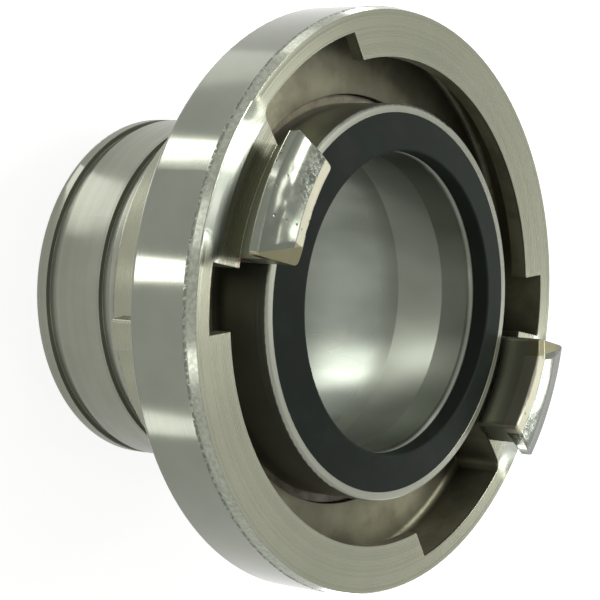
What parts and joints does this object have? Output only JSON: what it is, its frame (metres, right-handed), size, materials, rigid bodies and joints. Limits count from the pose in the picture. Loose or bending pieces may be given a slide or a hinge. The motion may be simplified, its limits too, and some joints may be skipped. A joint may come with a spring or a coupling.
{
  "type": "quarter turn fire hose coupling",
  "caption": "Claw coupling half for a fire hose: a swivelling ring with hooked claws and ramped lips on a ribbed hose tail with a rubber pressure seal.",
  "frame": {"origin": "on the axis at the end of the hose tail", "axes": "+Z along the waterway from the hose tail to the claws, +X through the middle of one claw"},
  "size_m": [0.126, 0.126, 0.079],
  "materials": {
    "cast_ring": "worn satin casting with a bright turned rim",
    "turned_tail": "turned satin",
    "seal_rubber": "matte black",
    "slide_plastic": "matte",
    "spring_wire": "drawn wire"
  },
  "bodies": {
    "tail": {"hose_tail": "turned_tail", "pressure_seal": "seal_rubber", "slide_ring": "slide_plastic"},
    "ring": {"locking_ring": "cast_ring", "snap_ring": "spring_wire"}
  },
  "joints": [
    {"name": "ring_spin", "type": "hinge", "parent": "tail", "child": "ring", "pos_m": [0, 0, 0.041], "axis": [0, 0, 1], "continuous": true}
  ]
}
